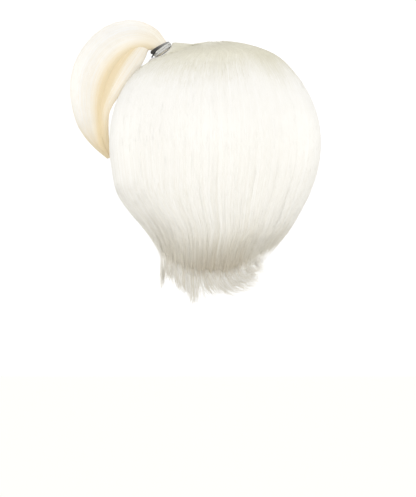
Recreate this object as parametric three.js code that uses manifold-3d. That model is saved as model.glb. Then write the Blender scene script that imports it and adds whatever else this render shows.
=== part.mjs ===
// Bob wig with a side ponytail, in millimetres. The origin is the top of the wearer's head inside the cap,
// +Z is up, +Y is the back of the head and +X is the wearer's left.
import * as THREE from "three";
import Module from "manifold-3d";

const wasm = await Module();
wasm.setup();

// Driving sizes
const GAP = 0.35;
const HEAD = { halfWidth: 77, halfLength: 96, halfHeight: 95 };
const NECK = { halfWidth: 56, halfLength: 62 };
const CAP_WALL = 1.6;
const HAIR_SEAT = CAP_WALL + GAP + 1.1; // the flat facets under the hair still clear the round cap
const TUFT_ROOM = 5.5;
const ROUNDNESS = { back: 2.2, front: 1.9 };
const CROWN_EDGE = 1.25;
const LOCK_RELIEF = 1.6;
const LOCK_RIDGE = [0, 0.75, 1, 0.75]; // height across one lock, from its edge over its crest
const TIE = { x: 52.9, y: 6, z: 14.9, slope: 52, ringRadius: 10.2, strand: 1.1, turns: 3.9, spread: 10 };
const BUNDLE = { from: -6.2, to: 6 }; // the straight stretch of the ponytail inside the elastic

// Horizontal sections of the hair's outer form, from the crown to the nape: how far each side stands from the
// middle of the head. Negative numbers lie past the middle.
const FORM = [
  { name: "crown", height: 24.6, left: -10, right: 10, back: 14, front: -14 },
  { name: "top", height: 19, left: 17, right: 40.5, back: 48, front: 22 },
  { name: "shoulder", height: 9, left: 46, right: 67, back: 79, front: 59 },
  { name: "above temple", height: -5, left: 77, right: 84, back: 99.5, front: 83 },
  { name: "temple", height: -28, left: 96, right: 101, back: 115.5, front: 97 },
  { name: "forehead", height: -55, left: 106.5, right: 112.5, back: 125, front: 104 },
  { name: "widest", height: -84, left: 110, right: 116.5, back: 128.5, front: 106 },
  { name: "ear", height: -113, left: 107.5, right: 113.5, back: 124, front: 104 },
  { name: "ear lobe", height: -139, left: 102, right: 105, back: 117, front: 98 },
  { name: "jaw", height: -161, left: 87.3, right: 94, back: 107, front: 88 },
  { name: "under jaw", height: -181, left: 70.2, right: 82, back: 94.5, front: 77 },
  { name: "nape", height: -202, left: 61, right: 66, back: 81, front: 67 },
  { name: "nape edge", height: -232, left: 58, right: 57.5, back: 71.5, front: 60 },
];

// Height of the cap's lower edge round the head, from the forehead to the nape, the same on both sides.
const CAP_EDGE = [
  { name: "forehead", angle: 0, height: -42 },
  { name: "hairline corner", angle: 36, height: -54 },
  { name: "temple", angle: 62, height: -92 },
  { name: "ear tab", angle: 78, height: -112 },
  { name: "over the ear", angle: 100, height: -102 },
  { name: "behind the ear", angle: 130, height: -138 },
  { name: "nape", angle: 180, height: -164 },
];

// Height at which the hair ends round the head, counted from the face by the wearer's left.
const HEM = [
  { name: "left cheek", angle: 36, height: -156 },
  { name: "left ear", angle: 80, height: -174 },
  { name: "behind the left ear", angle: 115, height: -205 },
  { name: "nape left", angle: 150, height: -220 },
  { name: "nape", angle: 185, height: -225 },
  { name: "nape right", angle: 215, height: -216 },
  { name: "behind the right ear", angle: 245, height: -203 },
  { name: "right ear", angle: 280, height: -190 },
  { name: "right cheek", angle: 324, height: -166 },
];

// The ponytail's near bunch, from the elastic to the tip: its outer and inner edge as seen from behind, and
// front to back where its middle lies, its half depth and how far its outer edge leans to the back.
const NEAR_BUNCH = [
  { name: "at the tie", outerX: 53.6, outerZ: 30.4, innerX: 66.5, innerZ: 15.5, y: 6, depth: 10.5, lean: 0 },
  { name: "rise", outerX: 59.8, outerZ: 37.8, innerX: 73.5, innerZ: 15.5, y: 6, depth: 13, lean: 1 },
  { name: "top of the arc", outerX: 74, outerZ: 45.2, innerX: 84, innerZ: 12.5, y: 6, depth: 16, lean: 2 },
  { name: "arc", outerX: 90, outerZ: 47.4, innerX: 92, innerZ: 7, y: 5, depth: 18, lean: 2 },
  { name: "shoulder", outerX: 109, outerZ: 43.2, innerX: 99.5, innerZ: -1, y: 4, depth: 20, lean: 3 },
  { name: "outward", outerX: 127, outerZ: 31.8, innerX: 106, innerZ: -10.5, y: 3, depth: 21, lean: 3 },
  { name: "fullest", outerX: 142.5, outerZ: 13, innerX: 111.5, innerZ: -22.5, y: 1, depth: 21, lean: 3 },
  { name: "belly", outerX: 151.5, outerZ: -9, innerX: 115.5, innerZ: -38.5, y: -2, depth: 20.5, lean: 3 },
  { name: "turning in", outerX: 153, outerZ: -35, innerX: 117, innerZ: -56, y: -6, depth: 19, lean: 3 },
  { name: "narrowing", outerX: 147.7, outerZ: -60, innerX: 116.5, innerZ: -72, y: -10, depth: 16.5, lean: 2 },
  { name: "closing", outerX: 139, outerZ: -76, innerX: 115, innerZ: -85, y: -13, depth: 13, lean: 1 },
  { name: "near the tip", outerX: 127.5, outerZ: -89, innerX: 112.5, innerZ: -95, y: -16, depth: 9, lean: 0 },
  { name: "tip", outerX: 113.5, outerZ: -101, innerX: 110.5, innerZ: -99.5, y: -19, depth: 3, lean: 0 },
];
const NEAR_END = [110.5, -20, -102];

// The ponytail's far bunch, which lies between the near one and the head: its middle line and its radius.
const FAR_BUNCH = [
  { name: "past the tie", x: 66, y: 5, z: 26, radius: 6.5 },
  { name: "rise", x: 75.5, y: 5, z: 21, radius: 9 },
  { name: "arc", x: 83.5, y: 5, z: 10.5, radius: 12 },
  { name: "drop", x: 91.5, y: 5, z: -1, radius: 12.5 },
  { name: "on the head", x: 99, y: 5, z: -13, radius: 12 },
  { name: "along the head", x: 106.5, y: 4, z: -26, radius: 10 },
  { name: "leaving the head", x: 113, y: 2, z: -38, radius: 7.8 },
  { name: "beside the belly", x: 117.5, y: 0, z: -50, radius: 6.7 },
  { name: "down", x: 118.7, y: -4, z: -63, radius: 6.5 },
  { name: "turning in", x: 118, y: -9, z: -76, radius: 5.9 },
  { name: "near the tip", x: 115.5, y: -14, z: -88, radius: 4.5 },
  { name: "tip", x: 112.5, y: -18, z: -97, radius: 2 },
];
const FAR_END = [111.5, -19, -100];

// Locks of the nape tuft: angle round the neck and height at the root and at the tip, half width, and how far
// the tip stands off the neck.
const TUFT_LOCKS = [
  { rootAngle: 119, rootHeight: -203, tipAngle: 117, tipHeight: -239, half: 5, flick: 2 },
  { rootAngle: 130, rootHeight: -203, tipAngle: 134, tipHeight: -230, half: 4, flick: 2 },
  { rootAngle: 141, rootHeight: -204, tipAngle: 149, tipHeight: -241, half: 7, flick: 2 },
  { rootAngle: 151, rootHeight: -204, tipAngle: 156, tipHeight: -244, half: 7.5, flick: 2 },
  { rootAngle: 161, rootHeight: -204, tipAngle: 164, tipHeight: -256, half: 8, flick: 3 },
  { rootAngle: 169, rootHeight: -204, tipAngle: 184, tipHeight: -247, half: 8, flick: 3 },
  { rootAngle: 177, rootHeight: -204, tipAngle: 200, tipHeight: -247, half: 8.5, flick: 4 },
  { rootAngle: 187, rootHeight: -204, tipAngle: 213, tipHeight: -244, half: 8.5, flick: 4 },
  { rootAngle: 198, rootHeight: -204, tipAngle: 225, tipHeight: -240, half: 8.5, flick: 5 },
  { rootAngle: 210, rootHeight: -204, tipAngle: 234, tipHeight: -233, half: 8, flick: 5 },
  { rootAngle: 223, rootHeight: -202, tipAngle: 243, tipHeight: -220, half: 6.5, flick: 6 },
];

// Helpers
const radians = THREE.MathUtils.degToRad;
const mix = THREE.MathUtils.lerp;
const smooth = THREE.MathUtils.smoothstep;
const vector = (x, y, z) => new THREE.Vector3(x, y, z);
const headCentre = vector(0, 0, -HEAD.halfHeight);

// One column of a table at a place between its rows, as a smooth curve through all of them.
function along(table, column, place) {
  const last = table.length - 1;
  const row = Math.min(Math.max(Math.floor(place), 0), last - 1);
  const value = (i) => table[Math.min(Math.max(i, 0), last)][column];
  const t = place - row;
  const [a, b, c, d] = [-1, 0, 1, 2].map((step) => value(row + step));
  const bend = 2 * a - 5 * b + 4 * c - d + t * (3 * (b - c) + d - a);
  return b + 0.5 * t * (c - a + t * bend);
}

// Place between the rows of a table at which a column reaches a value. The column only rises or only falls.
function placeOf(table, column, wanted) {
  const falls = table[0][column] > table.at(-1)[column];
  let low = 0;
  let high = table.length - 1;
  for (let step = 0; step < 40; step++) {
    const middle = (low + high) / 2;
    const before = falls === along(table, column, middle) > wanted;
    [low, high] = before ? [middle, high] : [low, middle];
  }
  return low;
}

const heightByAngle = (table, angle) => along(table, "height", placeOf(table, "angle", angle));
const capEdgeHeight = (angle) => heightByAngle(CAP_EDGE, angle > 180 ? 360 - angle : angle);

// Point on the outer form: place along the sections, and angle round the head from the face by the left.
function formPoint(place, angle) {
  const [left, right, back, front] = ["left", "right", "back", "front"].map((c) => along(FORM, c, place));
  const [across, ahead] = [Math.sin(radians(angle)), Math.cos(radians(angle))];
  const roundness = ahead > 0 ? ROUNDNESS.front : ROUNDNESS.back;
  const rounded = (value) => Math.sign(value) * Math.abs(value) ** (2 / roundness);
  const x = (left - right) / 2 + ((left + right) / 2) * rounded(across);
  const y = (back - front) / 2 - ((back + front) / 2) * rounded(ahead);
  return vector(x, y, along(FORM, "height", place));
}

// Distance from the head's centre to the skin along a direction: the head, and below it the neck.
function skinDistance(direction, room) {
  const scaled = (x, y, z) => vector(direction.x / x, direction.y / y, direction.z / z).length();
  const head = 1 / scaled(HEAD.halfWidth, HEAD.halfLength, HEAD.halfHeight);
  const neck = 1 / scaled(NECK.halfWidth + room, NECK.halfLength + room, Infinity);
  return direction.z < 0 ? Math.max(head, neck) : head;
}

const skinPoint = (direction, room, off) =>
  direction.clone().multiplyScalar(skinDistance(direction, room) + off).add(headCentre);
const fromCentre = (point) => point.clone().sub(headCentre).normalize();

// Small steady unevenness between -1 and 1, so that no two locks are alike.
const uneven = (index) => Math.sin(index * 12.9 + 1.7) * Math.cos(index * 4.1 + 0.6);

// Closed body from points and triangles, turned so that its faces look outwards.
function body(points, triangles) {
  const volume = triangles.reduce((sum, [a, b, c]) => {
    return sum + points[a].dot(points[b].clone().cross(points[c])) / 6;
  }, 0);
  const turned = volume > 0 ? triangles : triangles.map(([a, b, c]) => [a, c, b]);
  const geometry = new THREE.BufferGeometry();
  geometry.setAttribute("position", new THREE.Float32BufferAttribute(points.flatMap((p) => p.toArray()), 3));
  geometry.setIndex(turned.flat());
  return geometry;
}

// Body through closed rings of equally many points, ending in a point at each end.
function loft(rings, start, end) {
  const count = rings[0].length;
  const points = [start, ...rings.flat(), end];
  const triangles = [];
  const at = (ring, i) => 1 + ring * count + (i % count);
  for (let i = 0; i < count; i++) {
    triangles.push([0, at(0, i + 1), at(0, i)]);
    for (let ring = 0; ring < rings.length - 1; ring++) {
      triangles.push([at(ring, i), at(ring, i + 1), at(ring + 1, i + 1)]);
      triangles.push([at(ring, i), at(ring + 1, i + 1), at(ring + 1, i)]);
    }
    triangles.push([points.length - 1, at(rings.length - 1, i), at(rings.length - 1, i + 1)]);
  }
  return body(points, triangles);
}

// Body between an outer and an inner sheet of points, both given column by column.
function between(outer, inner) {
  const rows = outer[0].length;
  const loops = outer.map((column, i) => [...column, ...inner[i].toReversed()]);
  const count = rows * 2;
  const points = loops.flat();
  const triangles = [];
  const at = (loop, i) => loop * count + (i % count);
  for (let loop = 0; loop < loops.length - 1; loop++) {
    for (let i = 0; i < count; i++) {
      triangles.push([at(loop, i), at(loop, i + 1), at(loop + 1, i + 1)]);
      triangles.push([at(loop, i), at(loop + 1, i + 1), at(loop + 1, i)]);
    }
  }
  for (const [loop, flip] of [[0, true], [loops.length - 1, false]]) {
    for (let i = 0; i < rows - 1; i++) {
      const corners = [at(loop, i), at(loop, i + 1), at(loop, count - 2 - i), at(loop, count - 1 - i)];
      const [a, b, c, d] = flip ? corners.toReversed() : corners;
      triangles.push([a, b, c], [a, c, d]);
    }
  }
  return body(points, triangles);
}

// Joining and cutting
function toManifold(geometry) {
  const vertProperties = new Float32Array(geometry.attributes.position.array);
  const triVerts = new Uint32Array(geometry.index.array);
  return new wasm.Manifold(new wasm.Mesh({ numProp: 3, vertProperties, triVerts }));
}

function fromManifold(solid) {
  const { vertProperties, triVerts, numProp } = solid.getMesh();
  const geometry = new THREE.BufferGeometry();
  const positions = Array.from(vertProperties).filter((_, i) => i % numProp < 3);
  geometry.setAttribute("position", new THREE.Float32BufferAttribute(positions, 3));
  geometry.setIndex(Array.from(triVerts));
  return geometry;
}

// Cap: the skin's form and the same form one wall further out, from the top of the head to the lower edge.
function capBody() {
  const columns = 42;
  const rows = 9;
  const ring = (row, off) => Array.from({ length: columns }, (_, i) => {
    const angle = (i * 360) / columns;
    const edge = Math.acos((capEdgeHeight(angle) + HEAD.halfHeight) / HEAD.halfHeight);
    const tilt = (edge * row) / rows;
    const [turn, out] = [radians(angle), Math.sin(tilt)];
    const direction = vector(out * Math.sin(turn), -out * Math.cos(turn), Math.cos(tilt));
    return skinPoint(direction, 0, off);
  });
  const inner = Array.from({ length: rows }, (_, row) => ring(row + 1, 0));
  const outer = Array.from({ length: rows }, (_, row) => ring(row + 1, CAP_WALL));
  return loft([...inner, ...outer.toReversed()], vector(0, 0, 0), vector(0, 0, CAP_WALL));
}

// Hair over the cap at one angle: points on the outer form and below it on the cap, from section to section.
function curtainColumn({ angle, inset, first, last, rows, relief, room }) {
  const outer = [];
  const inner = [];
  for (let row = 0; row <= rows; row++) {
    const t = row / rows;
    const place = mix(first, last, t);
    const reach = formPoint(place, 90).x - formPoint(place, 270).x;
    const shifted = angle + THREE.MathUtils.radToDeg((2 * inset) / reach);
    const raised = relief * smooth(place, 2.5, 6);
    const base = formPoint(place, shifted);
    const direction = fromCentre(base);
    const top = base.clone().addScaledVector(direction, raised);
    const floor = skinPoint(direction, room, HAIR_SEAT);
    const depth = Math.max(top.distanceTo(floor) * mix(1, 0.3, smooth(t, 0.82, 1)), 1.6);
    outer.push(top);
    inner.push(top.clone().addScaledVector(direction, -depth));
  }
  return { outer, inner };
}

// A curtain of locks between two angles. Each lock is a rounded ridge that ends in its own tip.
function curtain({ from, to, locks, rows, hem, tip, room = 0, inset = GAP / 2 }) {
  const perLock = LOCK_RIDGE.length;
  const steps = locks * perLock;
  const columns = Array.from({ length: steps + 1 }, (_, i) => {
    const angle = mix(from, to, i / steps);
    const crest = LOCK_RIDGE[i % perLock];
    const drop = tip * (0.75 + 0.25 * uneven(Math.floor(i / perLock)));
    const last = placeOf(FORM, "height", hem(angle) - drop * (crest ** 2 - 0.5));
    const shift = i === 0 ? inset : i === steps ? -inset : 0;
    const relief = LOCK_RELIEF * crest;
    return curtainColumn({ angle, inset: shift, first: CROWN_EDGE, last, rows, relief, room });
  });
  return between(columns.map((c) => c.outer), columns.map((c) => c.inner));
}

// Crown: the same hair from the crown's middle to the round edge where the curtains begin.
function crownBody() {
  const columns = 40;
  const places = [0.45, 0.85, CROWN_EDGE - 0.012];
  const angles = Array.from({ length: columns }, (_, i) => (i * 360) / columns);
  const outer = places.map((place) => angles.map((angle) => formPoint(place, angle)));
  const onCap = (point) => skinPoint(fromCentre(point), 0, HAIR_SEAT);
  const inner = outer.map((ring) => ring.map(onCap));
  const middle = formPoint(0, 0);
  return loft([...inner, ...outer.toReversed()], onCap(middle), middle);
}

// The outer form as one solid down to the ear lobes, grown a little. It cuts what lies on the head to fit.
function formSolid(off) {
  const columns = 60;
  const places = Array.from({ length: 14 }, (_, i) => 0.3 + i * 0.55);
  const lift = (point) => point.addScaledVector(fromCentre(point), off);
  const rings = places.map((place) => {
    return Array.from({ length: columns }, (_, i) => lift(formPoint(place, (i * 360) / columns)));
  });
  return toManifold(loft(rings, lift(formPoint(0, 0)), vector(0, 0, along(FORM, "height", places.at(-1)))));
}

// Directions at the elastic: along the ponytail, towards the crown and towards the back
const tieCentre = vector(TIE.x, TIE.y, TIE.z);
const tieAxis = vector(Math.cos(radians(TIE.slope)), 0, Math.sin(radians(TIE.slope)));
const tieCrownward = vector(-tieAxis.z, 0, tieAxis.x);
const tieBackward = vector(0, 1, 0);

function aroundTie(turn, radius, height) {
  return tieCentre.clone()
    .addScaledVector(tieAxis, height)
    .addScaledVector(tieCrownward, radius * Math.cos(turn))
    .addScaledVector(tieBackward, radius * Math.sin(turn));
}

// Ponytail root: rings round the elastic's axis, puffed up towards the crown, cut off where they meet hair.
function ponytailRootBody() {
  const rings = [
    { name: "under the tie", radius: 8, crown: -6.8, side: -6.8, left: -6.8 },
    { name: "foot of the puff", radius: 11.8, crown: -6.6, side: -6.6, left: -6.6 },
    { name: "wall of the puff", radius: 12.1, crown: -2, side: -6, left: -2 },
    { name: "top of the puff", radius: 14, crown: -0.4, side: -5.4, left: 0.2 },
    { name: "swell", radius: 20, crown: -5.6, side: -6, left: -0.6 },
    { name: "slope", radius: 29, crown: -14.5, side: -10, left: -13 },
    { name: "foot", radius: 43, crown: -26.2, side: -18.5, left: -38 },
    { name: "sunk", radius: 46, crown: -46, side: -46, left: -60 },
  ];
  const columns = 32;
  const shapes = rings.map((ring) => Array.from({ length: columns }, (_, i) => {
    const turn = (i / columns) * 2 * Math.PI;
    const ahead = Math.cos(turn) > 0 ? ring.crown : ring.left;
    const height = mix(ring.side, ahead, Math.cos(turn) ** 2);
    return aroundTie(turn, ring.radius, height);
  }));
  const lump = toManifold(loft(shapes, aroundTie(0, 0, rings[0].crown), aroundTie(0, 0, rings.at(-1).left)));
  return fromManifold(lump.subtract(formSolid(GAP)));
}

// Elastic: one round strand wound side by side from the head outwards. It starts and ends at the front.
function hairTieBody() {
  const stepsPerTurn = 18;
  const sides = 6;
  const steps = Math.round(TIE.turns * stepsPerTurn);
  const front = 1.5 * Math.PI;
  const centreOf = (i) => {
    const height = TIE.spread * (i / steps - 0.5);
    return { turn: front + (i / stepsPerTurn) * 2 * Math.PI, height };
  };
  const rings = Array.from({ length: steps + 1 }, (_, i) => {
    const { turn, height } = centreOf(i);
    return Array.from({ length: sides }, (_, k) => {
      const around = (k / sides) * 2 * Math.PI;
      const radius = TIE.ringRadius + TIE.strand * Math.cos(around);
      return aroundTie(turn, radius, height + TIE.strand * Math.sin(around));
    });
  });
  const ends = [0, steps].map(centreOf).map(({ turn, height }) => aroundTie(turn, TIE.ringRadius, height));
  return loft(rings, ends[0], ends[1]);
}

// Ponytail: a straight bundle through the elastic, then two bunches side by side, with locks along them.
function ponytailBody() {
  const perLock = LOCK_RIDGE.length;
  const ring = (locks, centre, outward, sideways, relief) => {
    return Array.from({ length: locks * perLock }, (_, i) => {
      const turn = (i / (locks * perLock)) * 2 * Math.PI;
      const raised = 1 - relief * (1 - LOCK_RIDGE[i % perLock]);
      return centre.clone()
        .addScaledVector(outward, raised * Math.cos(turn))
        .addScaledVector(sideways, raised * Math.sin(turn));
    });
  };
  const through = (table, steps) => {
    return Array.from({ length: steps + 1 }, (_, i) => ((table.length - 1) * i) / steps);
  };

  const bundle = TIE.ringRadius - TIE.strand - GAP - 0.15;
  const bundleOut = tieCrownward.clone().multiplyScalar(bundle);
  const bundleBack = tieBackward.clone().multiplyScalar(bundle);
  const nearRings = [BUNDLE.from, BUNDLE.to].map((height) => {
    return ring(9, aroundTie(0, 0, height), bundleOut, bundleBack, 0);
  });
  for (const place of through(NEAR_BUNCH, 16)) {
    const value = (column) => along(NEAR_BUNCH, column, place);
    const outer = vector(value("outerX"), value("y") + value("lean"), value("outerZ"));
    const inner = vector(value("innerX"), value("y") - value("lean"), value("innerZ"));
    const centre = outer.clone().add(inner).divideScalar(2);
    const sideways = vector(0, value("depth"), 0);
    nearRings.push(ring(9, centre, outer.sub(centre), sideways, 0.1 * smooth(place, 0, 3)));
  }
  const near = loft(nearRings, aroundTie(0, 0, BUNDLE.from), vector(...NEAR_END));

  const farCentre = (place) => vector(...["x", "y", "z"].map((column) => along(FAR_BUNCH, column, place)));
  const farRings = through(FAR_BUNCH, 12).map((place) => {
    const forward = farCentre(place + 0.05).sub(farCentre(place - 0.05)).normalize();
    const radius = along(FAR_BUNCH, "radius", place);
    const outward = tieBackward.clone().cross(forward).normalize().multiplyScalar(radius);
    const sideways = forward.clone().cross(outward);
    return ring(5, farCentre(place), outward, sideways, 0.12);
  });
  const far = loft(farRings, farCentre(0), vector(...FAR_END));

  return fromManifold(toManifold(near).add(toManifold(far)).subtract(formSolid(GAP + LOCK_RELIEF)));
}

// Nape tuft: a thin band under the back hair, with tapered locks that hang from it.
function napeTuftBody() {
  const neckPoint = (angle, height, off) => {
    const turn = radians(angle);
    const flat = vector(Math.sin(turn), -Math.cos(turn), 0);
    const reach = 1 / Math.hypot(flat.x / NECK.halfWidth, flat.y / NECK.halfLength);
    return flat.multiplyScalar(reach + off).setZ(height);
  };
  const angles = Array.from({ length: 23 }, (_, i) => mix(118, 236, i / 22));
  const heights = [-165.75, -188, -209];
  const sheet = (off) => angles.map((angle) => heights.map((height) => neckPoint(angle, height, off)));
  const band = toManifold(between(sheet(4.4), sheet(0.6)));
  const locks = TUFT_LOCKS.map((lock) => {
    const sides = 6;
    const rings = Array.from({ length: 5 }, (_, i) => {
      const t = i / 5;
      const angle = mix(lock.rootAngle, lock.tipAngle, t ** 1.5);
      const height = mix(lock.rootHeight, lock.tipHeight, 1 - (1 - t) ** 1.6);
      const half = lock.half * (1 - t ** 2) ** 0.7;
      return Array.from({ length: sides }, (_, k) => {
        const turn = (k / sides) * 2 * Math.PI;
        const across = THREE.MathUtils.radToDeg((half * Math.cos(turn)) / NECK.halfWidth);
        return neckPoint(angle + across, height, 2.5 + lock.flick * t ** 2 + 1.7 * (1 - t) * Math.sin(turn));
      });
    });
    const start = neckPoint(lock.rootAngle, lock.rootHeight, 2.5);
    return toManifold(loft(rings, start, neckPoint(lock.tipAngle, lock.tipHeight, 2.5 + lock.flick)));
  });
  return fromManifold(locks.reduce((whole, lock) => whole.add(lock), band));
}

// The pieces
const colours = { hair: 0xf1eee2, ponytail: 0xf5ebd8, net: 0xe2d8c6, elastic: 0x3d3c3f };
const group = new THREE.Group();

function add(name, geometry, colour, roughness) {
  const material = new THREE.MeshStandardMaterial({ color: colour, roughness, metalness: 0 });
  const mesh = new THREE.Mesh(geometry, material);
  mesh.name = name;
  group.add(mesh);
}

const hemHeight = (angle) => heightByAngle(HEM, angle);
const fringeHeight = (angle) => -80 + 10 * Math.cos(radians(angle * 2.4));

add("wig_cap", capBody(), colours.net, 0.9);
add("crown_hair", crownBody(), colours.hair, 0.5);
const back = { from: 115, to: 245, locks: 11, rows: 10, hem: hemHeight, tip: 9, room: TUFT_ROOM };
const left = { from: 38, to: 115, locks: 6, rows: 10, hem: hemHeight, tip: 9 };
const right = { from: 245, to: 322, locks: 6, rows: 10, hem: hemHeight, tip: 9 };
const fringe = { from: -38, to: 38, locks: 7, rows: 7, hem: fringeHeight, tip: 8, inset: 0.8 };

add("back_hair", curtain(back), colours.hair, 0.5);
add("left_side_hair", curtain(left), colours.hair, 0.5);
add("right_side_hair", curtain(right), colours.hair, 0.5);
add("front_fringe", curtain(fringe), colours.hair, 0.5);
add("nape_tuft", napeTuftBody(), colours.hair, 0.5);
add("ponytail_root", ponytailRootBody(), colours.ponytail, 0.5);
add("hair_tie", hairTieBody(), colours.elastic, 0.8);
add("ponytail", ponytailBody(), colours.ponytail, 0.5);

export default group;
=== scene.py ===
import math

import bpy
import numpy as np
from mathutils.bvhtree import BVHTree
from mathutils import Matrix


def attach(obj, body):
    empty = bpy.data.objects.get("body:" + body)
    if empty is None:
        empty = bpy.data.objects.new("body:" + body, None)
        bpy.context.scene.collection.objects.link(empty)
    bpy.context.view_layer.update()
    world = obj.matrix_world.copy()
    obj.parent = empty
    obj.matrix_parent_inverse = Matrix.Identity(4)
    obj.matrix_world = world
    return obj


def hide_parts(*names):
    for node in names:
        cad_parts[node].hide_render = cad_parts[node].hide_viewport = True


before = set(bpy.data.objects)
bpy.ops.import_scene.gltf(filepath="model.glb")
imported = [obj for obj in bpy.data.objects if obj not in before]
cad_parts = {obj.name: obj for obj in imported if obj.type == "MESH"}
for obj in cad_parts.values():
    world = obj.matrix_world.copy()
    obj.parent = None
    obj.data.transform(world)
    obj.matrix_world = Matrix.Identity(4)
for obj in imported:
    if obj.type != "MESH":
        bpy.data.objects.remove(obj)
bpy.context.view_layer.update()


# Cap
# A thin stretch net, sewn to the shape of a head and bound at its lower edge with a flat elastic.
# The hair is sewn to it in rows, which show on the inside as raised seams.
MM = 0.001
HEAD = np.array([77.0, 96.0, 95.0]) * MM  # half width, half length, half height
HEAD_CENTRE = np.array([0.0, 0.0, -95.0]) * MM
CAP_WALL = 1.6 * MM
CAP_EDGE = [  # angle from the front, height of the lower edge
    (0, -42),
    (36, -54),
    (62, -92),
    (78, -112),
    (100, -102),
    (130, -138),
    (180, -164),
]
CAP_COLUMNS = 100
CAP_ROWS = 47
SEAM_ROWS = 13
SEAM_HALF_WIDTH = 0.1  # of the distance between two seams
SEAM_RAISE = 0.25
BINDING_START = 0.955  # of the way from the top to the edge
BINDING_RAISE = 0.35
NET_CELLS = 520.0  # in a metre
NET_PATCHES = 60.0  # in a metre
NET_SHADE = (0.42, 0.37, 0.29, 1)
NET_THREAD = (0.82, 0.75, 0.63, 1)


def through(table, place):
    """Values between the rows of a table, on a smooth curve through all of them."""
    rows = np.asarray(table, dtype=float)
    last = len(rows) - 1
    place = np.asarray(place, dtype=float)
    row = np.clip(np.floor(place).astype(int), 0, last - 1)
    t = (place - row)[..., None]
    a, b, c, d = (rows[np.clip(row + step, 0, last)] for step in (-1, 0, 1, 2))
    bend = 2 * a - 5 * b + 4 * c - d + t * (3 * (b - c) + d - a)
    return b + 0.5 * t * (c - a + t * bend)


def height_round(table, angle):
    """Second column of a table at an angle that lies between the angles of its first column."""
    fine = through(table, np.linspace(0, len(table) - 1, 600))
    return np.interp(angle, fine[:, 0], fine[:, 1])


def ease(value, low, high):
    t = np.clip((value - low) / (high - low), 0, 1)
    return t * t * (3 - 2 * t)


def unit(vectors):
    return vectors / np.maximum(np.linalg.norm(vectors, axis=-1, keepdims=True), 1e-12)


def columns_of(*values):
    """Grids of numbers side by side as one grid of points."""
    return np.stack(np.broadcast_arrays(*values), axis=-1)


def closed_wall(outer, inner, all_round=False):
    """Points and faces of a closed wall between two grids of points, given column by column."""
    columns, rows = outer.shape[:2]
    count = 2 * rows
    points = np.concatenate([outer, inner[:, ::-1]], axis=1).reshape(-1, 3)
    here = np.arange(columns if all_round else columns - 1)[:, None] * count
    there = (here + count) % (columns * count)
    i = np.arange(count)
    j = (i + 1) % count
    faces = [np.stack([here + i, there + i, there + j, here + j], axis=-1).reshape(-1, 4)]
    if not all_round:
        k = np.arange(rows - 1)
        end = np.stack([k, k + 1, count - 2 - k, count - 1 - k], axis=-1)
        faces += [end, end[:, ::-1] + (columns - 1) * count]
    faces = np.concatenate(faces)
    a, b, c, d = (points[faces[:, corner]] for corner in range(4))
    volume = np.einsum("ij,ij->", a, np.cross(b, c) + np.cross(c, d))
    return points, (faces if volume > 0 else faces[:, ::-1]).tolist()


def both_sides(values):
    """Marks for the points of a closed wall whose two sides carry the same values."""
    both = np.concatenate([values, values[:, ::-1]], axis=1)
    return both.reshape(-1, *values.shape[2:])


def on_wig(name, mesh, finish):
    """The piece with this mesh and finish, fixed to the wig."""
    mesh.materials.append(finish)
    piece = bpy.data.objects.new(name, mesh)
    bpy.context.collection.objects.link(piece)
    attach(piece, "root")
    return piece


def add_piece(name, points, faces, finish, slot, stands_for=(), **marks):
    """A smooth mesh piece on the wig, with values marked on its points for its finish to read."""
    mesh = bpy.data.meshes.new(name)
    mesh.from_pydata(points.tolist(), [], faces)
    mesh.shade_smooth()
    for mark, values in marks.items():
        kind, field = ("FLOAT", "value") if values.ndim == 1 else ("FLOAT_VECTOR", "vector")
        mesh.attributes.new(mark, kind, "POINT").data.foreach_set(field, values.ravel())
    piece = on_wig(name, mesh, finish)
    if stands_for:
        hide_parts(*stands_for)
    return piece


class Dye:
    """A number or colour over the surface of one material. Sums and products of numbers add Math nodes."""

    def __init__(self, tree, socket=None):
        self.tree = tree
        self.socket = socket

    def node(self, kind, settings, sockets, out=0):
        """Any other node: its type, its settings, then what goes into its sockets."""
        made = self.tree.nodes.new(kind)
        for name, value in settings.items():
            setattr(made, name, value)
        for name, value in sockets.items():
            if isinstance(value, Dye):
                self.tree.links.new(value.socket, made.inputs[name])
            else:
                made.inputs[name].default_value = value
        return Dye(self.tree, made.outputs[out])

    def mark(self, name, out="Fac"):
        return self.node("ShaderNodeAttribute", {"attribute_name": name}, {}, out)

    def maths(self, operation, first, second):
        return self.node("ShaderNodeMath", {"operation": operation}, {0: first, 1: second})

    def __add__(self, other):
        return self.maths("ADD", self, other)

    def __radd__(self, other):
        return self.maths("ADD", other, self)

    def __sub__(self, other):
        return self.maths("SUBTRACT", self, other)

    def __rsub__(self, other):
        return self.maths("SUBTRACT", other, self)

    def __mul__(self, other):
        return self.maths("MULTIPLY", self, other)

    def __rmul__(self, other):
        return self.maths("MULTIPLY", other, self)

    def step(self, low, high):
        """Rises from 0 to 1 as the number goes from low to high."""
        smooth = {"interpolation_type": "SMOOTHSTEP"}
        return self.node("ShaderNodeMapRange", smooth, {0: self, 1: low, 2: high})

    def between(self, first, second):
        """Colour between two colours, by this number."""
        return self.node("ShaderNodeMix", {"data_type": "RGBA"}, {0: self, 6: first, 7: second}, 2)

    def noise(self, scale, detail):
        """Soft uneven values over this vector."""
        sockets = {"Vector": self, "Scale": scale, "Detail": detail}
        return self.node("ShaderNodeTexNoise", {}, sockets, "Fac")

    def raise_surface(self, shader, strength, depth):
        """Bumps on the surface, as high as this number."""
        sockets = {"Strength": strength, "Distance": depth, "Height": self}
        self.node("ShaderNodeBump", {}, sockets, "Normal").into(shader, "Normal")

    def into(self, shader, socket):
        self.tree.links.new(self.socket, shader.inputs[socket])


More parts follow.
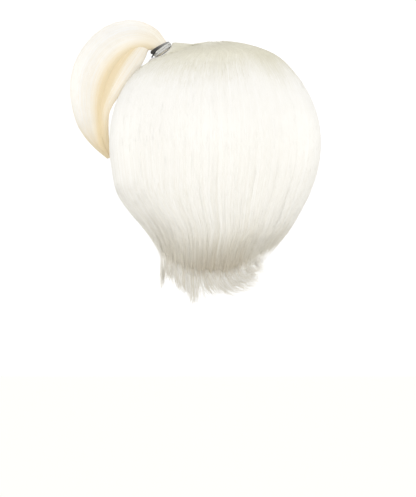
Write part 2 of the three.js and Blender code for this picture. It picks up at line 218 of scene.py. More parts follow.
def new_finish(name, roughness, gloss):
    material = bpy.data.materials.new(name)
    material.use_nodes = True
    shader = material.node_tree.nodes["Principled BSDF"]
    shader.inputs["Roughness"].default_value = roughness
    shader.inputs["Specular IOR Level"].default_value = gloss
    return material, shader, Dye(material.node_tree)


def cap_net_finish():
    net, shader, dye = new_finish("cap net", roughness=0.9, gloss=0.15)
    lay = dye.mark("lay", "Vector")
    cells = {"feature": "DISTANCE_TO_EDGE"}
    hole = dye.node("ShaderNodeTexVoronoi", cells, {"Vector": lay, "Scale": NET_CELLS}, "Distance")
    thread = 1 - hole.step(0.08, 0.2)
    shade = thread * 0.6 + lay.noise(NET_PATCHES, detail=2.0) * 0.2 + dye.mark("seam") * 0.35
    shade.between(NET_SHADE, NET_THREAD).into(shader, "Base Color")
    thread.raise_surface(shader, strength=0.5, depth=0.4 * MM)
    return net


cap_angle = np.linspace(0, 360, CAP_COLUMNS, endpoint=False)[:, None]
cap_low = height_round(CAP_EDGE, np.minimum(cap_angle, 360 - cap_angle)) * MM
cap_share = np.concatenate([[0.001], np.linspace(0.02, 1, CAP_ROWS)])[None, :]
cap_tilt = np.arccos((cap_low - HEAD_CENTRE[2]) / HEAD[2]) * cap_share
cap_turn = np.radians(cap_angle)
cap_flat = np.sin(cap_tilt)
cap_way = columns_of(cap_flat * np.sin(cap_turn), -cap_flat * np.cos(cap_turn), np.cos(cap_tilt))
cap_reach = 1 / np.linalg.norm(cap_way / HEAD, axis=-1, keepdims=True)
on_seam = np.abs((cap_share * SEAM_ROWS) % 1 - 0.5) < SEAM_HALF_WIDTH
on_binding = cap_share > BINDING_START
cap_raise = (SEAM_RAISE * on_seam + BINDING_RAISE * on_binding)[..., None] * MM
cap_inner = HEAD_CENTRE + cap_way * (cap_reach - cap_raise)
cap_outer = HEAD_CENTRE + cap_way * (cap_reach + CAP_WALL)
cap_points, cap_faces = closed_wall(cap_outer, cap_inner, all_round=True)
cap_seam = both_sides((on_seam | on_binding) + 0.0 * cap_tilt)
add_piece(
    "wig_cap_net", cap_points, cap_faces, cap_net_finish(), "cap_net", ["wig_cap"],
    lay=cap_points, seam=cap_seam,
)


# Hair over the cap
# Straight synthetic fibre, sewn row above row, so that the upper rows cover the lower ones. It is combed down
# from the crown and cut to a rounded bob whose ends turn under. FORM says how far each side stands out.
FORM = [  # height, left, right, back, front
    (24.6, -10, 10, 14, -14),
    (19, 17, 40.5, 48, 22),
    (9, 46, 67, 79, 59),
    (-5, 77, 84, 99.5, 83),
    (-28, 96, 101, 115.5, 97),
    (-55, 106.5, 112.5, 125, 104),
    (-84, 110, 116.5, 128.5, 106),
    (-113, 107.5, 113.5, 124, 104),
    (-139, 102, 105, 117, 98),
    (-161, 87.3, 94, 107, 88),
    (-181, 70.2, 82, 94.5, 77),
    (-202, 61, 66, 81, 67),
    (-232, 58, 57.5, 71.5, 60),
]
FORM_END = len(FORM) - 1
FRONT_SQUARENESS = 1.9  # 2 is an ellipse, and more is squarer
BACK_SQUARENESS = 2.2
PLACE_STEP = 0.03
NECK = np.array([56.0, 62.0]) * MM  # half width, half length
CROWN_EDGE = 1.25
HEM = [  # angle from the front by the left, height at which the hair ends
    (36, -156),
    (80, -174),
    (115, -205),
    (150, -220),
    (185, -225),
    (215, -216),
    (245, -203),
    (280, -190),
    (324, -166),
]
TUFT_ROOM = 5.5 * MM
FRINGE_EDGE = -80
FRINGE_ARCH = 10
HAIR_OFF_HOLLOW = 3 * MM
THINNEST_HAIR = 1.5 * MM
MASS_ROWS = 36
LOCK_WAVES = 7
LOCKS_ROUND = (30, 95)  # fewest and most ridges of a wave round the wig
FULL_TURN = 6.3  # in radians, a little over one
NAPE_ANGLE = 182
NAPE_HALF_WIDTH = 30
FIBRE = 0.39 * MM  # half width
CROWN_SHARE = 0.74  # share of the fibres that begin at the crown
OUTSIDE_SHARE = 0.88  # share that lies on the outside, and the rest shows only under the ends
LAYER_BEGINS = [(0.02, 0.13), (0.13, 0.5), (0.6, 0.72)]  # highest and lowest begin, of the whole length
SHORT_SHARE = 0.1
MOST_BELOW_HEM = 9
WHORL_TURN = 34
WHORL_REACH = (0.2, 2.6)  # rows of FORM over which it straightens out
LAY_ROUND = 1.9  # streaks of colour to a degree
LAY_DOWN = 0.9  # and to a row of FORM
# The root colour is partly painted shade, and the deepening towards the ends and the end colour are painted
# shade.
ROOT_FADES = (0.16, 0.33)  # stages from root to end between which a colour comes or goes
STREAKS_COME = (0.4, 0.65)
PAINTED_SHADE_DEEPENS = (0.66, 0.88)
END_SHADE_COMES = (0.84, 0.95)
END_SHADE_MOST = 0.62
EVEN_TONE = 0.9
ROOT_TONES = (0.8, 0.96)
MASS_TONE = 0.74
FINE_STREAK = 0.16
BROAD_STREAK = 0.1
PLATINUM = {
    "deep": (0.76, 0.72, 0.62, 1),
    "pale": (0.965, 0.955, 0.925, 1),
    # partly the roots' own colour and partly painted shade of the crown, which faces away from the lamps
    "root_colours_and_shade": [(0.675, 0.64, 0.50, 1), (0.745, 0.715, 0.57, 1)],
    "root_share": 0.95,
    "streak": 2.5,
    # painted shade of the turned-under ends over the nape
    "end": (0.61, 0.54, 0.425, 1),
    "end_shade": 0.7,
}


def form_point(place, angle):
    """Point on the outer form, at a place down the rows of FORM and an angle from the front by the left."""
    height, left, right, back, front = np.moveaxis(through(FORM, place + 0 * angle), -1, 0)
    across = np.sin(np.radians(angle))
    ahead = np.cos(np.radians(angle))
    power = np.where(ahead > 0, 2 / FRONT_SQUARENESS, 2 / BACK_SQUARENESS)
    x = (left - right) / 2 + (left + right) / 2 * np.sign(across) * np.abs(across) ** power
    y = (back - front) / 2 - (back + front) / 2 * np.sign(ahead) * np.abs(ahead) ** power
    return columns_of(x, y, height) * MM


def way_out(surface, place, turn, turn_step):
    """Direction square to a surface that is worked out from a place along it and a turn round it."""
    along = surface(place + PLACE_STEP, turn) - surface(place - PLACE_STEP, turn)
    sideways = surface(place, turn + turn_step) - surface(place, turn - turn_step)
    return unit(np.cross(along, sideways))


def form_out(place, angle):
    return way_out(form_point, place, angle, turn_step=0.6)


def place_at(height):
    fine = np.linspace(0, FORM_END, 2000)
    return np.interp(-np.asarray(height), -through(FORM, fine)[:, 0], fine)


def hollow_reach(way, room):
    """Distance from the hollow's middle to its wall: the dome under the cap, and a narrower tube below."""
    head = 1 / np.linalg.norm(way / HEAD, axis=-1)
    neck = 1 / np.maximum(np.linalg.norm(way[..., :2] / (NECK + room), axis=-1), 1e-6)
    return np.where(way[..., 2] < 0, np.maximum(head, neck), head)


def inside_of(outer, room, thin):
    """The underside of the hair: on the cap, and drawn up to the outside where the ends grow thin."""
    way = unit(outer - HEAD_CENTRE)
    depth = np.linalg.norm(outer - HEAD_CENTRE, axis=-1) - hollow_reach(way, room) - HAIR_OFF_HOLLOW
    return outer - way * np.maximum(depth * thin, THINNEST_HAIR)[..., None]


def lock_waves(angle, seed):
    """Uneven ridges round the wig, between about -1 and 1, as the fibres part into locks."""
    rng = np.random.default_rng(seed)
    waves = rng.uniform(*LOCKS_ROUND, LOCK_WAVES)
    starts = rng.uniform(0, FULL_TURN, LOCK_WAVES)
    return sum(np.sin(np.radians(angle) * wave + start) for wave, start in zip(waves, starts)) / 3


def colour_stage(place, angle):
    """Stage of colour from root to end. Only the middle of the nape reaches the end colour, painted shade
    that is darkest there.
    """
    nape = np.exp(-(((angle - NAPE_ANGLE) / NAPE_HALF_WIDTH) ** 2)) * ease(place / FORM_END, 0.86, 0.95)
    return 0.9 * place / FORM_END + 0.1 * nape


def hair_colour(tone, down, deep, pale, root_colours_and_shade, root_share, streak, end, end_shade):
    """Colour along the hair: a root colour that is partly painted shade, then the fibre's own tone, which
    deepens to an end colour as painted shade.
    """
    near_root = (1 - down.step(*ROOT_FADES)) * root_share
    near_end_shade = down.step(*END_SHADE_COMES) * END_SHADE_MOST
    streaks = (tone - EVEN_TONE) * down.step(*STREAKS_COME) * streak
    shaded = tone + streaks - down.step(*PAINTED_SHADE_DEEPENS) * end_shade
    root = tone.step(*ROOT_TONES).between(*root_colours_and_shade)
    return near_end_shade.between(near_root.between(shaded.between(deep, pale), root), end)


def mass_finish(name, colours):
    """Packed fibres seen from outside: fine and broad streaks along the hair."""
    material, shader, dye = new_finish(name, roughness=0.5, gloss=0.3)
    lay = dye.mark("lay", "Vector")
    fine = lay.noise(1.0, detail=3.0)
    wide_lay = dye.node("ShaderNodeVectorMath", {"operation": "MULTIPLY"}, {0: lay, 1: (0.22, 0.5, 1.0)})
    broad = wide_lay.noise(1.0, detail=2.0)
    tone = MASS_TONE + fine.step(0.3, 0.62) * FINE_STREAK + broad.step(0.35, 0.65) * BROAD_STREAK
    hair_colour(tone, dye.mark("down"), **colours).into(shader, "Base Color")
    fine.raise_surface(shader, strength=0.4, depth=0.4 * MM)
    return material


def fibre_finish(name, colours):
    """Single fibres, each with its own tone."""
    material, shader, dye = new_finish(name, roughness=0.42, gloss=0.35)
    hair_colour(dye.mark("tone"), dye.mark("down"), **colours).into(shader, "Base Color")
    return material


def add_fibres(name, paths, outward, down, tone, half_width, finish, rng, tip=0.3):
    """Loose fibres as closed three-sided strands that follow paths and narrow to their ends.

    They are shaded by the way out of the whole lock, as fine hair looks, and not each for itself."""
    count, steps = paths.shape[:2]
    share = np.linspace(0, 1, steps)
    narrow = (1 - (1 - tip) * ease(share, 0.55, 1)) * (0.6 + 0.4 * ease(share, 0, 0.1))
    half = (half_width * rng.uniform(0.7, 1.2, count))[:, None] * narrow
    forward = unit(np.gradient(paths, axis=1))
    sideways = unit(np.cross(forward, outward))
    upward = np.cross(sideways, forward)
    lean = rng.normal(0, 0.04, (count, 1, 1))
    corners = [(-1.0, -0.25), (1.0, -0.25), (0.0, 0.6)]  # sideways and upwards
    rings = [paths + (sideways * s + upward * u) * half[..., None] for s, u in corners]
    shades = [unit(outward + sideways * (0.2 * s + lean)) for s, _ in corners]
    points = np.stack(rings, axis=2).reshape(-1, 3)
    shade = np.stack(shades, axis=2).reshape(-1, 3)
    ring = (np.arange(count)[:, None] * steps + np.arange(steps)) * 3
    now = ring[:, :-1].ravel()
    then = ring[:, 1:].ravel()
    sides = [(0, 2), (2, 1), (1, 0)]
    quads = np.concatenate([np.stack([now + i, now + j, then + j, then + i], axis=-1) for i, j in sides])
    first = ring[:, 0]
    last = ring[:, -1]
    caps = [np.stack([first, first + 1, first + 2], axis=-1), np.stack([last + 2, last + 1, last], axis=-1)]
    mesh = bpy.data.meshes.new(name)
    mesh.from_pydata(points.tolist(), [], quads.tolist() + np.concatenate(caps).tolist())
    mesh.shade_smooth()
    marks = {"tone": np.repeat(tone, steps * 3), "down": np.repeat(down.ravel(), 3)}
    for mark, values in marks.items():
        mesh.attributes.new(mark, "FLOAT", "POINT").data.foreach_set("value", values)
    corner_of = np.concatenate([quads.ravel()] + [cap.ravel() for cap in caps])
    across = np.tile([-0.003, 0.003, 0.0], count * steps)
    flat = np.stack([0.01 + 0.98 * marks["tone"] + across, 0.01 + 0.98 * marks["down"]], axis=-1)
    mesh.uv_layers.new(name="OFBake").data.foreach_set("uv", flat[corner_of].ravel())
    corner_shade = shade[corner_of]
    outer_corners = len(now) * 4 * 2  # the third side and the ends keep a shading of their own
    corner_shade[outer_corners:] = 0
    mesh.normals_split_custom_set(corner_shade)
    return on_wig(name, mesh, finish)


def curtain_mass(name, node, span, hem, columns, room, seed):
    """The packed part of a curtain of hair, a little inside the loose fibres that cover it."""
    angle = np.linspace(*span, columns)[:, None]
    share = np.linspace(0, 1, MASS_ROWS)[None, :]
    low = hem(angle) + 3 + 2.5 * lock_waves(angle, seed + 5)
    place = CROWN_EDGE + (place_at(low) - CROWN_EDGE) * share
    ridge = lock_waves(angle, seed) * 0.15 * ease(place, 2, 9) - 0.65 - 3 * ease(share, 0.9, 1)
    outer = form_point(place, angle) + form_out(place, angle) * ridge[..., None] * MM
    inner = inside_of(outer, room, 1 - 0.7 * ease(share, 0.82, 1))
    points, faces = closed_wall(outer, inner)
    lay = both_sides(columns_of(angle * LAY_ROUND, place * LAY_DOWN, 0.0))
    down = both_sides(colour_stage(place, angle))
    add_piece(name, points, faces, platinum_mass, "platinum_hair", [node], lay=lay, down=down)


def whorl(place):
    """Angle by which the hair turns as it leaves the crown."""
    return WHORL_TURN * (1 - ease(place, *WHORL_REACH))


def curtain_fibres(name, span, hem, count, steps, seed):
    """Loose fibres from the crown to the ends: some begin lower down, and some show only under the ends."""
    rng = np.random.default_rng(seed)
    root = rng.uniform(*span, count)
    layer = rng.uniform(0, 1, count)
    under = layer > OUTSIDE_SHARE
    begins = [rng.uniform(high, low, count) for high, low in LAYER_BEGINS]
    begin = np.select([layer < CROWN_SHARE, ~under], begins[:2], begins[2])
    is_short = rng.uniform(0, 1, count) < SHORT_SHARE
    trimmed = np.where(is_short, rng.uniform(6, 24, count), rng.normal(2, 4.5, count))
    end = place_at(hem(root) + np.maximum(trimmed, -MOST_BELOW_HEM))[:, None]
    share = np.linspace(0, 1, steps)[None, :] ** 1.15
    place = end * (begin[:, None] + (1 - begin[:, None]) * share)
    sway = np.sin(share * rng.uniform(2, 7, (count, 1)) + rng.uniform(0, FULL_TURN, (count, 1)))
    angle = root[:, None] + 0.45 * sway * ease(place, 0, 3) - whorl(place)
    lift = rng.uniform(-0.35, 0.1, (count, 1)) - (under * rng.uniform(1, 5, count))[:, None]
    turned_under = rng.uniform(0, 3.2, (count, 1)) * ease(place, end - 0.7, end + 0.1)
    lift = lift - 1.4 * (1 - ease(share, 0, 0.08)) - turned_under
    out = form_out(place, angle)
    paths = form_point(place, angle) + out * lift[..., None] * MM
    tone = np.clip(rng.normal(0.88, 0.035, count) + 0.025 * lock_waves(root, seed + 1), 0, 1)
    ragged = rng.normal(0, 0.025, count) + 0.025 * lock_waves(root * 0.12, 15)
    down = np.clip(colour_stage(place, angle) + ragged[:, None] * (0.35 + 0.65 * share), 0, 1)
    add_fibres(name, paths, out, down, tone, FIBRE, platinum_fibre, rng, tip=0.15)


def hem_height(angle):
    return height_round(HEM, angle)


def fringe_height(angle):
    return FRINGE_EDGE + FRINGE_ARCH * np.cos(np.radians(angle * 2.4))


platinum_mass = mass_finish("platinum hair mass", PLATINUM)
platinum_fibre = fibre_finish("platinum fibres", PLATINUM)
curtain_mass("back_hair_mass", "back_hair", (115, 245), hem_height, columns=120, room=TUFT_ROOM, seed=11)
curtain_mass("left_side_hair_mass", "left_side_hair", (38, 115), hem_height, columns=80, room=0.0, seed=12)
curtain_mass("right_side_hair_mass", "right_side_hair", (245, 322), hem_height, columns=80, room=0.0, seed=13)
curtain_mass("front_fringe_mass", "front_fringe", (-38, 38), fringe_height, columns=70, room=0.0, seed=14)
curtain_fibres("back_hair_fibres", (114, 246), hem_height, count=2150, steps=15, seed=21)
curtain_fibres("left_side_hair_fibres", (37, 116), hem_height, count=1150, steps=15, seed=31)
curtain_fibres("right_side_hair_fibres", (244, 323), hem_height, count=1150, steps=15, seed=41)
curtain_fibres("front_fringe_fibres", (-39, 39), fringe_height, count=900, steps=12, seed=51)


# Crown
# The round patch on top from which the hair falls to all sides in a slow whorl.
# It is the last row that is sewn on, and the fibres of all the curtains start under it.
CROWN_COLUMNS = 100
CROWN_ROWS = 14
CROWN_OVERLAP = 0.1
CROWN_SUNK = 0.9


def crown_fibres(name, count, steps, seed):
    """Loose fibres that leave the crown on all sides and go under the hair of the curtains."""
    rng = np.random.default_rng(seed)
    begin = rng.uniform(0.06, 0.8, (count, 1))
    end = rng.uniform(2.0, 3.4, (count, 1))
    share = np.linspace(0, 1, steps)[None, :]
    place = begin + (end - begin) * share
    angle = rng.uniform(0, 360, (count, 1)) - whorl(place)
    sunk = (1 - ease(share, 0, 0.15)) * ease(begin, 0.06, 0.3) + ease(share, 0.6, 1)
    lift = rng.uniform(-0.6, 0.0, (count, 1)) - 1.4 * sunk
    out = form_out(place, angle)
    paths = form_point(place, angle) + out * lift[..., None] * MM
    tone = np.clip(rng.normal(0.88, 0.04, count), 0, 1)
    add_fibres(name, paths, out, 0.9 * place / FORM_END, tone, FIBRE, platinum_fibre, rng)


crown_angle = np.linspace(0, 360, CROWN_COLUMNS, endpoint=False)[:, None]
crown_place = np.linspace(0.01, CROWN_EDGE + CROWN_OVERLAP, CROWN_ROWS)[None, :]
crown_out = form_out(crown_place + 0.05, crown_angle)
crown_outer = form_point(crown_place, crown_angle) - crown_out * CROWN_SUNK * MM
crown_points, crown_faces = closed_wall(crown_outer, inside_of(crown_outer, 0.0, 1.0), all_round=True)
crown_lay = both_sides(columns_of(crown_angle * LAY_ROUND, crown_place * LAY_DOWN, 0.0))
crown_down = both_sides(crown_place / FORM_END + 0 * crown_angle)
add_piece(
    "crown_hair_mass", crown_points, crown_faces, platinum_mass, "platinum_hair", ["crown_hair"],
    lay=crown_lay, down=crown_down,
)
crown_fibres("crown_hair_fibres", count=800, steps=8, seed=56)


# Nape tuft
# Short fine hair at the lower edge of the cap, cut unevenly. On the left it hangs out under the back hair in
# thin locks, and from the middle on it is brushed round to the right.
TUFT_LOCKS = [  # angle and height of the root, angle and height of the tip, half width, lift of the tip
    (119, -203, 117, -239, 5, 2),
    (130, -203, 134, -230, 4, 2),
    (141, -204, 149, -241, 7, 2),
    (151, -204, 156, -244, 7.5, 2),
    (161, -204, 164, -256, 8, 3),
    (169, -204, 184, -247, 8, 3),
    (177, -204, 200, -247, 8.5, 4),
    (187, -204, 213, -244, 8.5, 4),
    (198, -204, 225, -240, 8.5, 5),
    (210, -204, 234, -233, 8, 5),
    (223, -202, 243, -220, 6.5, 6),
]
TUFT_FIBRE = 0.22 * MM  # half width
SWEEP_RISE = 10  # from a lock's root in the table up to where its sweep begins
BAND_ANGLES = (118, 229)
BAND_COLUMNS = 90
BAND_ROWS = 14
BAND_TOP = -168
BAND_INSIDE = 2.4  # off the hollow below the cap
BAND_OUTSIDE = 4.0
BAND_STAGE = 0.6


def neck_point(angle, height, off):
    """Point at a distance off the hollow below the cap."""
    turn = np.radians(angle)
    flat = columns_of(np.sin(turn), -np.cos(turn))
    reach = 1 / np.linalg.norm(flat / NECK, axis=-1) + off * MM
    return columns_of(flat[..., 0] * reach, flat[..., 1] * reach, height * MM)


def nape_fibres(name, count, steps, seed):
    """Short fibres, most of them gathered in locks, with roots at uneven heights under the cap's edge."""
    rng = np.random.default_rng(seed)
    lock = rng.uniform(-0.4, len(TUFT_LOCKS) - 0.6, (count, 1))
    gathered = np.round(lock) + 0.4 * (lock - np.round(lock))
    lock = np.clip(np.where(rng.uniform(0, 1, (count, 1)) < 0.6, gathered, lock), 0, len(TUFT_LOCKS) - 1)
    left = rng.uniform(0, 1, (count, 1)) < 0.12
    lock = np.where(left, rng.uniform(0, 1.7, (count, 1)), lock)
    root, root_height, tip, tip_height, half, flick = np.moveaxis(through(TUFT_LOCKS, lock), -1, 0)
    share = np.linspace(0, 1, steps)[None, :] * rng.uniform(0.55, 1.06, (count, 1)) * (1 - 0.35 * left)
    beside = rng.normal(0, 0.35, (count, 1)) * np.degrees(half * MM / NECK[0])
    sweep = rng.uniform(0.75, 1.3, (count, 1))
    fan = rng.normal(0, 2.0, (count, 1)) * share**2
    angle = root + (tip - root) * sweep * share**1.5 + beside * (1 - 0.4 * ease(share, 0.3, 1)) + fan
    on_right = ease(lock, 4.5, 8)
    fall = 1 - np.maximum(1 - share, 0) ** (1.6 + 1.2 * on_right)
    brushed_up = 26 * rng.uniform(0, 1, (count, 1)) ** 1.5 * on_right * share**2
    height = root_height + SWEEP_RISE + (tip_height - root_height - SWEEP_RISE) * fall + brushed_up
    height = height + rng.normal(0, 2.5, (count, 1)) * share
    off = rng.uniform(0.8, 4.2, (count, 1)) + flick * share**2 + rng.normal(0, 1.3, (count, 1)) * share**2
    paths = neck_point(angle, height, off)
    out = unit(paths * [1, 1, 0] + [0, 0, 0.02])
    tone = np.clip(rng.normal(0.72, 0.2, count), 0, 1)
    down = 0.5 + 0.1 * share
    # Each fibre goes straight up from where its sweep begins, to a root at a height of its own.
    above = np.random.default_rng(seed + 1).uniform(1, 26, (count, 1, 1)) * MM
    paths = np.concatenate([paths[:, :1] + above * [0, 0, 1], paths], axis=1)
    out = np.concatenate([out[:, :1], out], axis=1)
    down = np.concatenate([down[:, :1], down], axis=1)
    add_fibres(name, paths, out, down, tone, TUFT_FIBRE, platinum_fibre, rng, tip=0.2)


band_angle = np.linspace(*BAND_ANGLES, BAND_COLUMNS)[:, None]
band_low = hem_height(band_angle) - 3 + 4 * lock_waves(band_angle, 17)
band_top = BAND_TOP + 2 * lock_waves(band_angle, 18)
band_height = band_top + (band_low - band_top) * np.linspace(0, 1, BAND_ROWS)[None, :]
band_points, band_faces = closed_wall(
    neck_point(band_angle, band_height, BAND_OUTSIDE), neck_point(band_angle, band_height, BAND_INSIDE)
)
band_lay = both_sides(columns_of(band_angle * LAY_ROUND, band_height * 0.03, 0.0))
band_down = np.full(len(band_points), BAND_STAGE)
add_piece(
    "nape_tuft_band", band_points, band_faces, platinum_mass, "platinum_hair", ["nape_tuft"],
    lay=band_lay, down=band_down,
)
nape_fibres("nape_tuft_fibres", count=2150, steps=7, seed=61)


# Root of the ponytail
# The hair of the upper left, drawn together from all sides. It puffs up a little where the elastic holds it.
# It is the hair of the wig itself, so its far ends go under the hair around it.
TIE = np.array([52.9, 6.0, 14.9])
TIE_SLOPE = math.radians(52)
TIE_AXIS = np.array([math.cos(TIE_SLOPE), 0.0, math.sin(TIE_SLOPE)])
TIE_CROWNWARD = np.array([-TIE_AXIS[2], 0.0, TIE_AXIS[0]])
TIE_BACKWARD = np.array([0.0, 1.0, 0.0])
ROOT_RINGS = [  # radius round the elastic's axis, height along it on the crown's side, beside and on the left
    (8, -6.8, -6.8, -6.8),
    (11.8, -6.6, -6.6, -6.6),
    (12.1, -2, -6, -2),
    (14, -0.4, -5.4, 0.2),
    (20, -5.6, -6, -0.6),
    (29, -14.5, -10, -13),
    (43, -26.2, -18.5, -38),
    (58, -41, -32, -60),
]
ROOT_COLUMNS = 90
ROOT_ROWS = 28
ROOT_EDGE = 6.2
ROOT_SUNK = 1.0 * MM
ROOT_WALL = 4
IVORY = {
    "deep": (0.87, 0.735, 0.50, 1),
    "pale": (0.975, 0.965, 0.94, 1),
    # partly a golden root colour and partly painted shade beside the elastic
    "root_colours_and_shade": [(0.85, 0.755, 0.575, 1), (0.95, 0.885, 0.73, 1)],
    "root_share": 0.6,
    "streak": 0.2,
    # painted shade towards the lower tips of the bunches
    "end": (0.93, 0.82, 0.61, 1),
    "end_shade": 0.85,
}


def round_tie(turn, radius, height):
    """Point round the elastic's axis. Turn 0 looks to the crown and a quarter turn to the back."""
    turn, radius, height = np.broadcast_arrays(turn, radius, height)
    outward = np.cos(turn)[..., None] * TIE_CROWNWARD + np.sin(turn)[..., None] * TIE_BACKWARD
    return (TIE + height[..., None] * TIE_AXIS + radius[..., None] * outward) * MM


def root_point(place, turn):
    radius, crown, side, left = np.moveaxis(through(ROOT_RINGS, place + 0 * turn), -1, 0)
    ahead = np.where(np.cos(turn) > 0, crown, left)
    return round_tie(turn, radius, side + (ahead - side) * np.cos(turn) ** 2)


def hair_surface():
    """The outside of the hair on the cap, to lay other hair on."""
    points = []
    faces = []
    for node in ("crown_hair", "back_hair", "left_side_hair", "right_side_hair", "front_fringe"):
        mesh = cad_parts[node].data
        faces += [[v + len(points) for v in polygon.vertices] for polygon in mesh.polygons]
        points += [tuple(vertex.co) for vertex in mesh.vertices]
    return BVHTree.FromPolygons(points, faces)


def laid_on_hair(points, lift):
    """Points that sink into the hair on the cap are brought up to a height above it."""
    flat = points.reshape(-1, 3)
    way = unit(flat - HEAD_CENTRE)
    away = np.linalg.norm(flat - HEAD_CENTRE, axis=-1)
    above = np.broadcast_to(lift, points.shape[:-1]).ravel()
    for i, start in enumerate(HEAD_CENTRE + way * 0.3):
        hit = head_hair.ray_cast(start.tolist(), (-way[i]).tolist())[0]
        if hit is not None:
            away[i] = max(away[i], np.linalg.norm(np.array(hit) - HEAD_CENTRE) + above[i])
    return (HEAD_CENTRE + way * away[:, None]).reshape(points.shape)


def root_stage(place, height):
    """Stage of colour from root to end: as on the hair around it, and a little paler by the elastic, painted
    light against the shade there.
    """
    return 0.9 * place_at(height / MM) / FORM_END + 0.14 * (1 - ease(place, 3, 6.5))


def root_fibres(name, count, steps, seed):
    """Loose fibres that come up from under the hair around the elastic and run together into it."""
    rng = np.random.default_rng(seed)
    share = np.linspace(0, 1, steps)[None, :]
    turn = rng.uniform(-np.pi, np.pi, (count, 1))
    begin = rng.uniform(3.4, 6.9, (count, 1))
    place = begin * (1 - share) + 0.02
    turn = turn + 0.25 * (1 - share) * np.sin(turn) + rng.normal(0, 0.05, (count, 1)) * share
    lift = rng.uniform(0.4, 1.5, (count, 1)) * ease(share, 0.0, 0.14) - 1.6 * (1 - ease(share, 0, 0.1))
    paths = laid_on_hair(root_point(place, turn), lift * MM)
    out = way_out(root_point, place, turn, turn_step=-0.03)
    tone = np.clip(rng.normal(0.96, 0.06, count), 0, 1)
    down = root_stage(place, paths[..., 2])
    add_fibres(name, paths, out, down, tone, FIBRE, platinum_fibre, rng, tip=0.8)


head_hair = hair_surface()
ivory_mass = mass_finish("ivory hair mass", IVORY)
ivory_fibre = fibre_finish("ivory fibres", IVORY)
root_turn = np.linspace(0, 2 * np.pi, ROOT_COLUMNS, endpoint=False)[:, None]
root_place = np.linspace(0, ROOT_EDGE, ROOT_ROWS)[None, :]
root_outer = laid_on_hair(root_point(root_place, root_turn), -ROOT_SUNK)
root_inner = root_outer - unit(root_outer - HEAD_CENTRE) * ROOT_WALL * MM
root_points, root_faces = closed_wall(root_outer, root_inner, all_round=True)
root_lay = both_sides(columns_of(np.degrees(root_turn) * 0.7, root_place * LAY_DOWN, 0.0))
root_down = both_sides(root_stage(root_place, root_outer[..., 2]))
add_piece(
    "ponytail_root_mass", root_points, root_faces, platinum_mass, "ivory_hair", ["ponytail_root"],
    lay=root_lay, down=root_down,
)
root_fibres("ponytail_root_fibres", count=1000, steps=10, seed=71)


# Elastic
# A black covered elastic, wound side by side round the hair from the wig outwards. Its middle turns are
# pale grey, and a short end of it sticks out on the left.
TIE_RADIUS = 10.2
TIE_STRAND = 1.1
TIE_TURNS = 3.9
TIE_SPREAD = 10.0
TIE_STEPS = 240
TIE_SIDES = 14
TIE_END = [  # turn round the axis, radius, height along it
    (2.3, 10.4, 2.6),
    (2.5, 11.8, 2.6),
    (2.65, 13.6, 1.9),
    (2.7, 15.6, 0.9),
]
TIE_END_STRAND = 0.7
ELASTIC_DARK = (0.010, 0.010, 0.013, 1)
ELASTIC_PALE_GREY = (0.80, 0.80, 0.78, 1)


def closed_tube(rings):
    """Points and faces of a closed tube through rings of points."""
    steps, sides = rings.shape[:2]
    here = np.arange(steps - 1)[:, None] * sides
    i = np.arange(sides)
    j = (i + 1) % sides
    around = np.stack([here + i, here + j, here + sides + j, here + sides + i], axis=-1)
    faces = around.reshape(-1, 4).tolist()
    faces += [list(range(sides))[::-1], list(range((steps - 1) * sides, steps * sides))]
    return rings.reshape(-1, 3), faces


def elastic_finish():
    elastic, shader, dye = new_finish("dark elastic", roughness=0.75, gloss=0.25)
    lay = dye.mark("lay", "Vector")
    twisted = {"bands_direction": "DIAGONAL"}
    twist = {"Vector": lay, "Scale": 1.0, "Distortion": 0.6}
    thread = dye.node("ShaderNodeTexWave", twisted, twist, "Fac")
    greyness = thread * 0.04 + lay.noise(3.0, detail=3.0) * 0.06 + dye.mark("worn") * 0.9
    greyness.between(ELASTIC_DARK, ELASTIC_PALE_GREY).into(shader, "Base Color")
    thread.raise_surface(shader, strength=0.7, depth=0.3 * MM)
    return elastic


tie_turns = np.linspace(0, TIE_TURNS, TIE_STEPS)[:, None]
tie_round = np.linspace(0, 2 * np.pi, TIE_SIDES, endpoint=False)[None, :]
tie_turn = (1.5 + 2 * tie_turns) * np.pi
tie_last = ease(tie_turns, 2.8, 3.2)
tie_half = TIE_STRAND * (0.6 + 0.55 * ease(tie_turns, 0.8, 1.1) + tie_last * (0.1 - 0.55 * np.cos(tie_turn)))
tie_points, tie_faces = closed_tube(round_tie(
    tie_turn,
    TIE_RADIUS + 0.1 * np.sin(tie_turns * 14) + tie_half * np.cos(tie_round),
    TIE_SPREAD * (tie_turns / TIE_TURNS - 0.5) + tie_half - TIE_STRAND + tie_half * np.sin(tie_round),
))
end_turn, end_radius, end_height = through(TIE_END, np.linspace(0, 3, 16)[:, None])[..., 0, :].T[..., None]
end_points, end_faces = closed_tube(round_tie(
    end_turn,
    end_radius + TIE_END_STRAND * np.cos(tie_round),
    end_height + TIE_END_STRAND * np.sin(tie_round),
))
tie_faces += [[corner + len(tie_points) for corner in face] for face in end_faces]
tie_points = np.concatenate([tie_points, end_points])
tie_lay = tie_points * 900
# How pale grey the elastic is: a little on the first turn, most on the middle turns, and on the last turn
# more towards the crown.
tie_worn = 0.35 + 0.65 * ease(tie_turns, 0.8, 1.1) - ease(tie_turns, 2.85, 3.15) + 0 * tie_round
tie_worn += tie_last * (0.05 + 0.4 * ease(np.cos(tie_turn), -0.5, 0.8))
tie_worn = np.concatenate([tie_worn.ravel(), np.zeros(len(end_points))])
add_piece(
    "hair_tie_elastic", tie_points, tie_faces, elastic_finish(), "elastic", ["hair_tie"],
    lay=tie_lay, worn=tie_worn,
)
